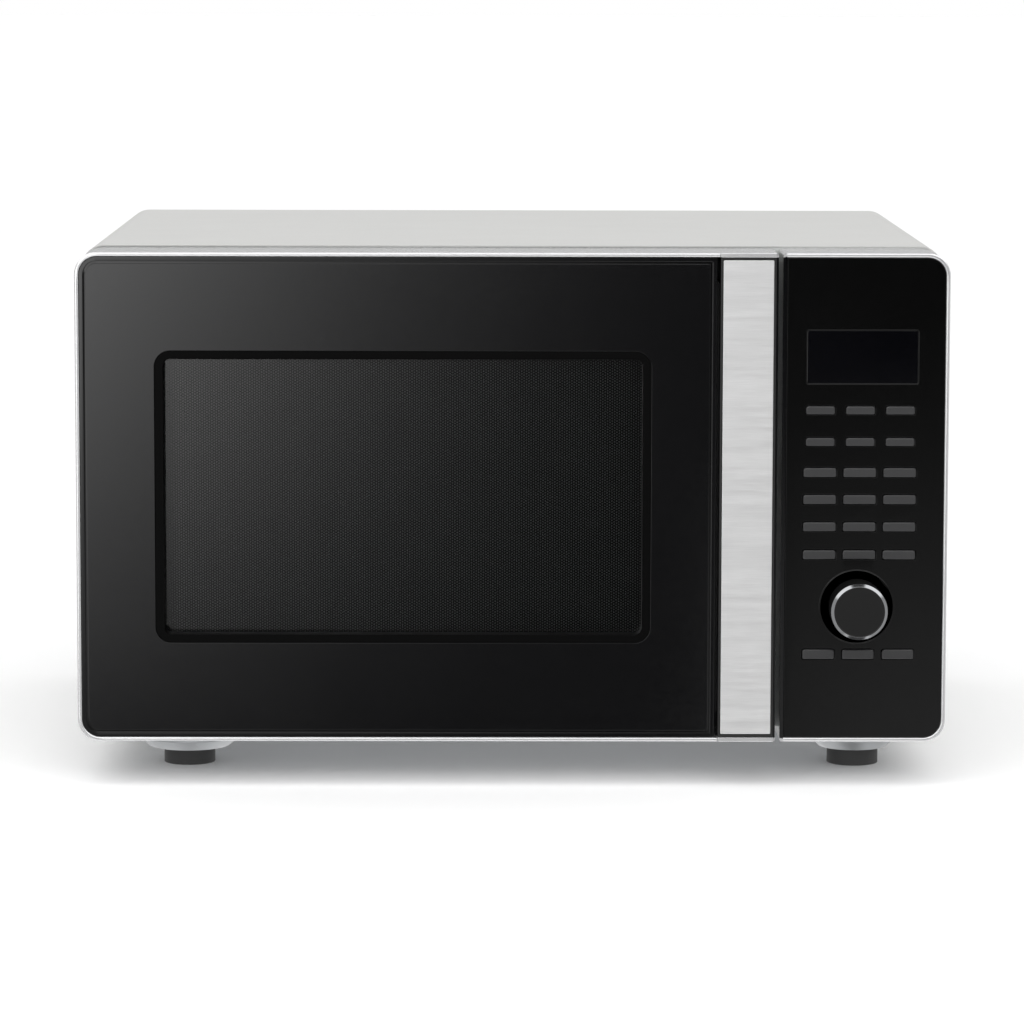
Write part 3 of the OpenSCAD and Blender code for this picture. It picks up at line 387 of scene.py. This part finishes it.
def make_finishes(scene):
    """Every finish by the name of the slot it fills, and three more: fascia, bezel and dial's ring."""
    c, s = scene.oven_colours, scene.oven_sizes
    return {
        # Baked enamel on steel sheet: satin, with a fine orange-peel that softens what it reflects.
        "cabinet_steel": surface("SteelEnamelledSilverGrey", c.cabinet, 0.02, 1.6, 0.006, (0.36, 0.46)),
        # ABS sprayed with silver lacquer: a metal look whose rounded edges draw bright lines.
        "frame_silver": surface("AbsLacqueredSilver", c.frame, 0.01, 0.5, 0.0, (0.2, 0.24), Metallic=0.7),
        "zinc_steel": zinc_sheet("SteelZincCoated", c.zinc, s.spangle),
        # Sprayed oven enamel: clean, light and fairly glossy, with a slight orange-peel.
        "cavity_enamel": surface("SteelEnamelledCavity", c.enamel, 0.02, 2.5, 0.01, (0.24, 0.34)),
        # Lacquered glass-like front: deep black with soft, slightly hazy reflections.
        "black_gloss": surface("AbsPolishedBlack", c.black, 0.08, 3.0, 0.0, (0.07, 0.11)),
        # Moulded ABS with a fine spark-eroded texture that kills the shine.
        "black_plastic": surface("AbsMouldedBlack", c.black_moulded, 0.12, 0.45, 0.02, (0.42, 0.55)),
        # Printed-grade ABS keys: satin, even, a little lighter on the rounded edges.
        "key_grey": surface("AbsSatinKeyGrey", c.keys, 0.05, 0.4, 0.006, (0.36, 0.46)),
        "knob_black": surface("AbsSatinKnob", c.knob, 0.06, 0.35, 0.004, (0.32, 0.4),
                              **{"Specular IOR Level": 0.25}),
        "handle_steel": brushed_steel("StainlessSteelBrushed", c.steel, s.brush_line),
        "screen_steel": screen_sheet("SteelPerforatedEnamelledPaintedShade", s),
        # Tempered float glass over a dark screen.
        "window_clear": clear_pane("FloatGlassClear", srgb("#040505"), 0.45, 0.04),
        "tray_glass": pressed_glass("SodaLimeGlassPressed", srgb("#EAF5F1")),
        # Smoked acrylic over the display: as dark as the fascia, and shinier.
        "lens_dark": surface("AcrylicSmoked", srgb("#060608"), 0.05, 4.0, 0.0, (0.05, 0.08)),
        # Pressed mica: tan flakes with a dull pearl.
        "mica": surface("MicaPressed", srgb("#B9A37F"), 0.18, 3.0, 0.02, (0.3, 0.5)),
        # Unpainted polypropylene: milky white and softly shiny.
        "white_plastic": surface("PolypropyleneWhite", srgb("#E2E0DA"), 0.03, 0.8, 0.008, (0.4, 0.5)),
        # Acetal runners: off-white, waxy and smooth.
        "roller_plastic": surface("AcetalNatural", srgb("#DAD7CE"), 0.03, 0.8, 0.006, (0.32, 0.42)),
        # Fibreglass laminate under green solder mask.
        "board": surface("FibreglassBoardGreen", srgb("#1F5A38"), 0.2, 0.9, 0.01, (0.3, 0.45)),
        "core_steel": laminations("IronLaminated", srgb("#4A3A2E"), 0.8 * MM),
        # Drawn aluminium can: soft, bright and finely scratched lengthwise.
        "aluminium_can": surface("AluminiumDrawn", srgb("#D2D4D6"), 0.06, 0.5, 0.01, (0.3, 0.42),
                                 stretch=(1, 1, 0.1), Metallic=1.0),
        # Phenolic switch bodies: dull brick red.
        "switch_red": surface("PhenolicRed", srgb("#8C2F22"), 0.08, 0.6, 0.01, (0.45, 0.6)),
        # Moulded rubber: matt, dark grey, with a dusty bloom.
        "rubber_black": surface("RubberMoulded", c.rubber, 0.12, 0.5, 0.03, (0.6, 0.78)),
        # Zinc-plated screw heads: small, bright, slightly worn.
        "screw_steel": surface("SteelZincPlated", srgb("#C9CACC"), 0.1, 0.5, 0.01, (0.25, 0.4),
                               Metallic=1.0),
        # The fascia: glossy black ABS with a weaker reflection than the door's, so it looks darker.
        "fascia_black": surface("AbsGlossBlackFascia", c.black_moulded, 0.08, 2.0, 0.0, (0.08, 0.12),
                                **{"Specular IOR Level": 0.3}),
        # The bezel: a dull printed border under the door's surface, which hardly reflects.
        "bezel_black": surface("PolycarbonatePrintedBlack", c.bezel, 0.08, 1.0, 0.0, (0.3, 0.4),
                               **{"Specular IOR Level": 0.02}),
        # The diamond-cut ring of the dial: bare metal that mirrors the lamps and little else.
        "knob_ring": surface("AluminiumDiamondCut", srgb("#8E8F91"), 0.04, 0.5, 0.0, (0.1, 0.14),
                             Metallic=1.0),
    }


# ---- pieces ---------------------------------------------------------------------------------


def let_go():
    bpy.ops.object.select_all(action="DESELECT")


def take(piece):
    """Makes one object the only one selected, and the active one."""
    let_go()
    piece.select_set(True)
    bpy.context.view_layer.objects.active = piece


def paint(piece, *materials):
    piece.data.materials.clear()
    for material in materials:
        piece.data.materials.append(material)


def modify(piece, kind, **settings):
    """Adds a modifier to the active piece and applies it."""
    bpy.ops.object.modifier_add(type=kind)
    modifier = piece.modifiers[-1]
    for name, value in settings.items():
        setattr(modifier, name, value)
    bpy.ops.object.modifier_apply(modifier=modifier.name)


def soften(piece, edge, corner=32):
    """Rounds edges that bend more than corner, in degrees, and shades curves smooth and flats flat."""
    take(piece)
    if edge > 0:
        modify(piece, "BEVEL", width=edge, segments=2, limit_method="ANGLE",
               angle_limit=math.radians(corner), use_clamp_overlap=True, miter_outer="MITER_ARC")
    bpy.ops.object.shade_smooth_by_angle(angle=math.radians(40))
    modify(piece, "WEIGHTED_NORMAL", keep_sharp=True, weight=60)


def select_faces(piece, test):
    """In edit mode, selects the faces whose centre and normal pass the test, and nothing else."""
    mesh = bmesh.from_edit_mesh(piece.data)
    for face in mesh.faces:
        face.select_set(False)
    for face in mesh.faces:
        if test(face.calc_center_median(), face.normal):
            face.select_set(True)
    bmesh.update_edit_mesh(piece.data)


def round_front(piece, edge, planes, test):
    """Rounds the sharp edges that lie in planes at these depths along Y and whose middles pass the test."""
    take(piece)
    bpy.ops.object.mode_set(mode="EDIT")
    bpy.ops.mesh.select_mode(type="EDGE")
    mesh = bmesh.from_edit_mesh(piece.data)
    for part in (*mesh.faces, *mesh.edges, *mesh.verts):
        part.select_set(False)
    for line in mesh.edges:
        flat = any(all(abs(end.co.y - plane) < IN_PLANE for end in line.verts) for plane in planes)
        if flat and line.calc_face_angle(0) > SHARP and test((line.verts[0].co + line.verts[1].co) / 2):
            line.select_set(True)
    bmesh.update_edit_mesh(piece.data)
    bpy.ops.mesh.bevel(offset=edge, segments=3, affect="EDGES", clamp_overlap=False)
    bpy.ops.object.mode_set(mode="OBJECT")


def finished_copy(node, edge, material, cuts=(), front=0, steps=(0,), test=lambda place: True):
    """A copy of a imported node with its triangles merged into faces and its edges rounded.

    cuts are planes, each a point, a normal and a test of the faces that it splits.
    front is the rounding of the edges in its front plane, and in planes set back by the steps,
    where an edge's middle passes the test.
    """
    original = frame["nodes"][node]
    take(original)
    bpy.ops.object.duplicate(linked=False)
    piece = bpy.context.view_layer.objects.active
    bpy.ops.object.parent_clear(type="CLEAR_KEEP_TRANSFORM")
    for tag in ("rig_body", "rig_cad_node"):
        if tag in piece:
            del piece[tag]
    piece.name = node + "_finished"
    bpy.ops.mesh.customdata_custom_splitnormals_clear()
    bpy.ops.object.mode_set(mode="EDIT")
    bpy.ops.mesh.select_all(action="SELECT")
    bpy.ops.mesh.remove_doubles(threshold=WELD)
    bpy.ops.mesh.dissolve_limited(angle_limit=FLAT)
    for place, normal, among in cuts:
        bpy.ops.mesh.select_mode(type="FACE")
        select_faces(piece, among)
        bpy.ops.mesh.bisect(plane_co=place, plane_no=normal)
    bpy.ops.object.mode_set(mode="OBJECT")
    if front:
        round_front(piece, front, [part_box(node)[0].y + step for step in steps], test)
    soften(piece, edge)
    paint(piece, material)
    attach(piece, BODY_OF[node])
    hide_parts(node)
    return piece


def second_finish(piece, material, test):
    """Gives the faces whose centre and normal pass the test another finish."""
    piece.data.materials.append(material)
    for face in piece.data.polygons:
        if test(face.center, face.normal):
            face.material_index = 1


def finish_nodes(edges):
    """Finishes each node with its own slot's finish and the rounding it is given."""
    for node, edge in edges.items():
        finished_copy(node, edge, FINISHES[SLOT_OF[node]])


def masked_frame(node, sizes, side):
    """The silver frame of the door or the housing, whose upright on one side is masked black.

    side is 1 where that upright stands at the frame's right, and -1 where it stands at its left.
    The corners are cut off from the straight sides first, and the upright from the silver rims.
    """
    low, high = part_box(node)
    rim = sizes.rim_band
    upright, corner = high.x - sizes.upright_wall, low.x + CORNER
    if side < 0:
        upright, corner = low.x + sizes.upright_wall, high.x - CORNER

    def anywhere(place, normal):
        return True

    def beside(place, normal):
        return (place.x - upright) * side > 0

    def clear_of_upright(place):
        return (upright - place.x) * side > 0

    def masked(place, normal):
        return beside(place, normal) and low.z + rim < place.z < high.z - rim

    cuts = [((x, 0, 0), (1, 0, 0), anywhere) for x in (corner, upright)]
    cuts += [((0, 0, z), (0, 0, 1), anywhere) for z in (low.z + CORNER, high.z - CORNER)]
    cuts += [((0, 0, z), (0, 0, 1), beside) for z in (low.z + rim, high.z - rim)]
    piece = finished_copy(node, 0, FINISHES["frame_silver"], cuts, sizes.frame_edge, test=clear_of_upright)
    second_finish(piece, FINISHES["black_gloss"], masked)


def select_edges(piece, test):
    """In edit mode, selects the edges whose two ends pass the test, and nothing else."""
    mesh = bmesh.from_edit_mesh(piece.data)
    for part in (*mesh.faces, *mesh.edges, *mesh.verts):
        part.select_set(False)
    for edge in mesh.edges:
        if all(test(vertex.co) for vertex in edge.verts):
            edge.select_set(True)
    bmesh.update_edit_mesh(piece.data)


FINISHES = {}


class OVEN_OT_finishes(Operator):
    """Make the materials"""

    bl_idname = "oven.finishes"
    bl_label = "Finishes"

    def execute(self, context):
        FINISHES.update(make_finishes(context.scene))
        for node, piece in frame["nodes"].items():
            paint(piece, FINISHES[SLOT_OF[node]])
        return {"FINISHED"}


class OVEN_OT_cabinet(Operator):
    """Finish the cabinet, its base, back, feet, screws and cord gland"""

    bl_idname = "oven.cabinet"
    bl_label = "Cabinet"

    def execute(self, context):
        s = context.scene.oven_sizes
        finish_nodes({
            "outer_cabinet": s.sheet_edge, "base_plate": s.fold_edge, "rear_panel": 0.0,
            "feet": s.rubber_edge, "cabinet_screws": s.sheet_edge, "cord_gland": s.trim_edge,
            "hinge_brackets": s.sheet_edge,
        })
        return {"FINISHED"}


class OVEN_OT_cavity(Operator):
    """Finish the cavity with its wave guide cover"""

    bl_idname = "oven.cavity"
    bl_label = "Cavity"

    def execute(self, context):
        s = context.scene.oven_sizes
        finish_nodes({"cavity_shell": s.fold_edge, "waveguide_cover": s.trim_edge})
        return {"FINISHED"}


class OVEN_OT_turntable(Operator):
    """Finish the glass tray, its coupler and the roller ring"""

    bl_idname = "oven.turntable"
    bl_label = "Turntable"

    def execute(self, context):
        s = context.scene.oven_sizes
        finish_nodes({
            "glass_tray": s.glass_edge, "drive_coupler": s.trim_edge, "roller_ring": s.trim_edge,
            "roller_a": s.fold_edge, "roller_b": s.fold_edge, "roller_c": s.fold_edge,
        })
        return {"FINISHED"}


class OVEN_OT_door(Operator):
    """Finish the door's frame, panel, choke, cover and latch"""

    bl_idname = "oven.door"
    bl_label = "Door"

    def execute(self, context):
        s = context.scene.oven_sizes
        finish_nodes({"door_panel": s.panel_edge, "choke_cover": s.panel_edge, "door_latch": s.trim_edge})
        masked_frame("door_shell", s, side=1)
        # The choke's front shows in the gap beside the handle, so it is painted black too: painted shade for
        # the dark gap.
        choke = finished_copy("door_choke", s.sheet_edge, FINISHES["zinc_steel"])
        second_finish(choke, FINISHES["black_plastic"], lambda place, normal: normal.y < -0.5)
        return {"FINISHED"}


class OVEN_OT_window(Operator):
    """Finish the window's bezel and its glass"""

    bl_idname = "oven.window"
    bl_label = "Window"

    def execute(self, context):
        s = context.scene.oven_sizes
        finished_copy("window_bezel", s.bezel_edge, FINISHES["bezel_black"])
        finish_nodes({"window_glass": s.sheet_edge})
        return {"FINISHED"}


class OVEN_OT_handle(Operator):
    """Finish the handle's bar, steel strip and end caps"""

    bl_idname = "oven.handle"
    bl_label = "Handle"

    def execute(self, context):
        s = context.scene.oven_sizes
        finish_nodes({"handle_body": s.trim_edge, "handle_plate": s.panel_edge, "handle_caps": s.trim_edge})
        return {"FINISHED"}


class OVEN_OT_control_panel(Operator):
    """Finish the control panel's housing, fascia and display lens"""

    bl_idname = "oven.control_panel"
    bl_label = "Control panel"

    def execute(self, context):
        s = context.scene.oven_sizes
        finish_nodes({"display_lens": s.sheet_edge})
        finished_copy("panel_fascia", 0, FINISHES["fascia_black"], front=s.panel_edge,
                      steps=(0, s.dish_rim))
        masked_frame("panel_housing", s, side=-1)
        return {"FINISHED"}


class OVEN_OT_keys(Operator):
    """Finish the twenty-one keys, each as a piece of its own"""

    bl_idname = "oven.keys"
    bl_label = "Keys"

    def execute(self, context):
        edge = context.scene.oven_sizes.key_edge
        for node in KEYS:
            finished_copy(node, 0, FINISHES[SLOT_OF[node]], front=edge)
        return {"FINISHED"}


class OVEN_OT_dial(Operator):
    """Model the dial's knob with its polished ring and satin face"""

    bl_idname = "oven.dial"
    bl_label = "Dial"

    def execute(self, context):
        s = context.scene.oven_sizes
        low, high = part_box("dial_knob")
        middle = (low + high) / 2
        radius = (high.x - low.x) / 2
        let_go()
        bpy.ops.mesh.primitive_cylinder_add(vertices=128, radius=radius, depth=high.y - low.y,
                                            location=middle, rotation=(math.radians(90), 0, 0))
        knob = context.active_object
        knob.name = "dial_cap"
        bpy.ops.object.transform_apply(location=True, rotation=True, scale=True)
        ring = s.knob_chamfer
        bpy.ops.object.mode_set(mode="EDIT")
        bpy.ops.mesh.select_mode(type="EDGE")
        select_edges(knob, lambda place: place.y < low.y + ring / 4)
        bpy.ops.mesh.bevel(offset=ring, segments=1, affect="EDGES", offset_type="OFFSET")
        bpy.ops.mesh.select_mode(type="FACE")
        select_faces(knob, lambda place, normal: normal.y < -0.9)
        bpy.ops.mesh.inset(thickness=ring / 5, depth=0)
        bpy.ops.mesh.inset(thickness=ring / 8, depth=-s.knob_dish)
        bpy.ops.object.mode_set(mode="OBJECT")
        paint(knob, FINISHES["knob_black"], FINISHES["knob_ring"])
        face_r = radius - ring * 1.1
        for face in knob.data.polygons:
            out = Vector((face.center.x - middle.x, 0, face.center.z - middle.z)).length
            if face.center.y < low.y + ring * 0.9 and out > face_r:
                face.material_index = 1
        soften(knob, s.knob_edge, corner=20)
        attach(knob, BODY_OF["dial_knob"])
        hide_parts("dial_knob")
        return {"FINISHED"}


class OVEN_OT_stage(Operator):
    """Set the floor, the camera, the white studio and its two soft boxes"""

    bl_idname = "oven.stage"
    bl_label = "Stage"

    def execute(self, context):
        scene = context.scene
        studio = scene.oven_studio
        self.add_camera(scene, studio)
        self.add_floor(scene)
        self.add_world(scene, studio)
        self.add_soft_box("key_box", studio.key_power, 2.0, 1.4, Vector((-0.9, -1.3, 2.0)))
        self.add_soft_box("fill_box", studio.fill_power, 1.6, 1.0, Vector((0.7, -2.3, 0.95)))
        scene.view_settings.view_transform = "Standard"
        scene.view_settings.look = "None"
        return {"FINISHED"}

    def add_camera(self, scene, studio):
        """The eye stands in front and a little above, looking slightly down."""
        let_go()
        bpy.ops.object.camera_add(location=EYE)
        camera = bpy.context.active_object
        turn = Matrix.Rotation(math.radians(TURN), 4, "Z")
        tilt = Matrix.Rotation(math.radians(TILT), 4, "X")
        roll = Matrix.Rotation(math.radians(ROLL), 4, "Z")
        camera.matrix_world = Matrix.Translation(camera.location) @ turn @ tilt @ roll
        camera.data.sensor_width = 36
        camera.data.lens = studio.lens
        camera.data.clip_start = 0.05
        camera.data.clip_end = 200
        scene.camera = camera

    def add_floor(self, scene):
        let_go()
        bpy.ops.mesh.primitive_plane_add(size=60, location=(0, 0, 0))
        floor = bpy.context.active_object
        floor.name = "floor"
        material = surface("PaperSweepWhite", scene.oven_colours.floor, 0.01, 4.0, 0.0, (0.85, 0.95),
                           **{"Specular IOR Level": 0.2})
        paint(floor, material)
        floor.visible_glossy = False

    def add_world(self, scene, studio):
        """Bright all round, but what shines sees a dark patch where the camera stands, lit at its left."""
        world = bpy.data.worlds.new("studio")
        world.use_nodes = True
        tree = world.node_tree
        tree.nodes.clear()
        way = add(tree, "ShaderNodeTexCoord").outputs["Generated"]
        x, y, z = add(tree, "ShaderNodeSeparateXYZ", inputs={"Vector": way}).outputs

        def math_node(operation, *values):
            return add(tree, "ShaderNodeMath", {"operation": operation}, dict(enumerate(values))).outputs[0]

        def ramp(value, start, end):
            return add(tree, "ShaderNodeMapRange", {"interpolation_type": "SMOOTHSTEP"},
                       {"Value": value, "From Min": start, "From Max": end}).outputs["Result"]

        # The patch that flat black fronts mirror. It grows from its right edge to the left and from
        # its foot upwards, so it is bright at the upper left and nearly dark at the right.
        right_edge, reach = 0.08, 0.167
        foot, rise = 0.2, 0.135
        leftward = math_node("MULTIPLY_ADD", x, -1 / reach, right_edge / reach)
        leftward = math_node("POWER", math_node("MAXIMUM", leftward, 0.0), 3.0)
        upward = math_node("MULTIPLY_ADD", z, 1 / rise, foot / rise)
        upward = math_node("POWER", math_node("MAXIMUM", upward, 0.0), 1.6)
        patch = math_node("MULTIPLY_ADD", math_node("MULTIPLY", leftward, upward), 2.5, 0.03)
        patch = math_node("MINIMUM", patch, 3.0)
        # To the right, what the control panel mirrors is brighter low down and a little darker above.
        rightward = ramp(x, 0.05, 0.064)
        low_right = math_node("MULTIPLY", rightward, ramp(z, -0.08, -0.18))
        patch = math_node("MULTIPLY_ADD", low_right, 0.7, patch)
        upper_right = math_node("MULTIPLY", rightward, ramp(z, -0.12, -0.08))
        patch = math_node("MULTIPLY_ADD", upper_right, -0.05, patch)
        # Round it: a bright band high up, a white floor that fades to the sides, and a grey horizon.
        # The very top and bottom are dimmer.
        high_band = math_node("MULTIPLY", ramp(z, 0.3, 0.55), ramp(z, 0.98, 0.93))
        side = ramp(math_node("ABSOLUTE", x), 0.2, 0.6)
        low_band = math_node("MULTIPLY", ramp(z, -0.28, -0.5), ramp(z, -0.98, -0.93))
        low_band = math_node("MULTIPLY", low_band, math_node("MULTIPLY_ADD", side, -0.75, 1.0))
        around = math_node("MULTIPLY_ADD", side, 0.35, 0.45)
        around = math_node("MAXIMUM", around, math_node("MULTIPLY", high_band, 2.5))
        around = math_node("MAXIMUM", around, math_node("MULTIPLY", low_band, 1.8))
        flags = math_node("MAXIMUM", ramp(z, 0.93, 0.98), ramp(z, -0.93, -0.98))
        around = math_node("MULTIPLY", around, math_node("MULTIPLY_ADD", flags, -0.7, 1.0))
        # Where the patch ends: above and below it, to its sides, and behind the oven's front.
        beyond = math_node("MAXIMUM", ramp(z, 0.07, 0.35), ramp(z, -0.28, -0.5))
        beyond = math_node("MAXIMUM", beyond, ramp(math_node("ABSOLUTE", x), 0.25, 0.6))
        beyond = math_node("MAXIMUM", beyond, ramp(y, -0.8, -0.3))
        seen = add(tree, "ShaderNodeMix", {"data_type": "FLOAT"},
                   {0: beyond, 2: patch, 3: around}).outputs[0]
        # Dull surfaces are lit mostly from above, so the gap under the oven stays dark.
        forward = math_node("MULTIPLY_ADD", y, -0.6, 1.0)
        overhead = math_node("MULTIPLY", math_node("MAXIMUM", z, 0.0), forward)
        overhead = math_node("MULTIPLY_ADD", overhead, studio.ambient, studio.low_light)
        ray = add(tree, "ShaderNodeLightPath").outputs
        light = add(tree, "ShaderNodeMix", {"data_type": "FLOAT"},
                    {0: ray["Is Glossy Ray"], 2: overhead, 3: seen}).outputs[0]
        light = add(tree, "ShaderNodeMix", {"data_type": "FLOAT"},
                    {0: ray["Is Camera Ray"], 2: light, 3: 1.0}).outputs[0]
        shader = add(tree, "ShaderNodeBackground", inputs={"Color": (1, 1, 1, 1), "Strength": light})
        add(tree, "ShaderNodeOutputWorld", inputs={"Surface": shader.outputs[0]})
        world.cycles.sampling_method = "NONE"
        scene.world = world

    def add_soft_box(self, name, power, width, height, place):
        let_go()
        bpy.ops.object.light_add(type="AREA", location=place)
        box = bpy.context.active_object
        box.name = name
        box.data.energy = power
        box.data.shape = "RECTANGLE"
        box.data.size = width
        box.data.size_y = height
        box.rotation_euler = (FRONT_MIDDLE - place).to_track_quat("-Z", "Y").to_euler()
        box.visible_camera = False
        box.visible_glossy = False


STEPS = (OVEN_OT_finishes, OVEN_OT_stage, OVEN_OT_cabinet, OVEN_OT_cavity, OVEN_OT_turntable, OVEN_OT_door,
         OVEN_OT_window, OVEN_OT_handle, OVEN_OT_control_panel, OVEN_OT_keys, OVEN_OT_dial)


class OVEN_PT_panel(Panel):
    """Lists the oven's steps and settings"""

    bl_idname = "OVEN_PT_panel"
    bl_label = "Microwave oven"
    bl_space_type = "VIEW_3D"
    bl_region_type = "UI"
    bl_category = "Oven"

    def draw(self, context):
        layout = self.layout
        for step in STEPS:
            layout.operator(step.bl_idname)
        for group in (context.scene.oven_sizes, context.scene.oven_colours, context.scene.oven_studio):
            box = layout.box()
            for name in group.__annotations__:
                box.prop(group, name)


CLASSES = (OvenSizes, OvenColours, OvenStudio, *STEPS, OVEN_PT_panel)


def register():
    for cls in CLASSES:
        bpy.utils.register_class(cls)
    bpy.types.Scene.oven_sizes = PointerProperty(type=OvenSizes)
    bpy.types.Scene.oven_colours = PointerProperty(type=OvenColours)
    bpy.types.Scene.oven_studio = PointerProperty(type=OvenStudio)


def unregister():
    for name in ("oven_sizes", "oven_colours", "oven_studio"):
        delattr(bpy.types.Scene, name)
    for cls in reversed(CLASSES):
        bpy.utils.unregister_class(cls)


def main():
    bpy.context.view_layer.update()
    register()
    for step in STEPS:
        group, name = step.bl_idname.split(".")
        getattr(getattr(bpy.ops, group), name)()
    let_go()


if __name__ == "__main__":
    main()
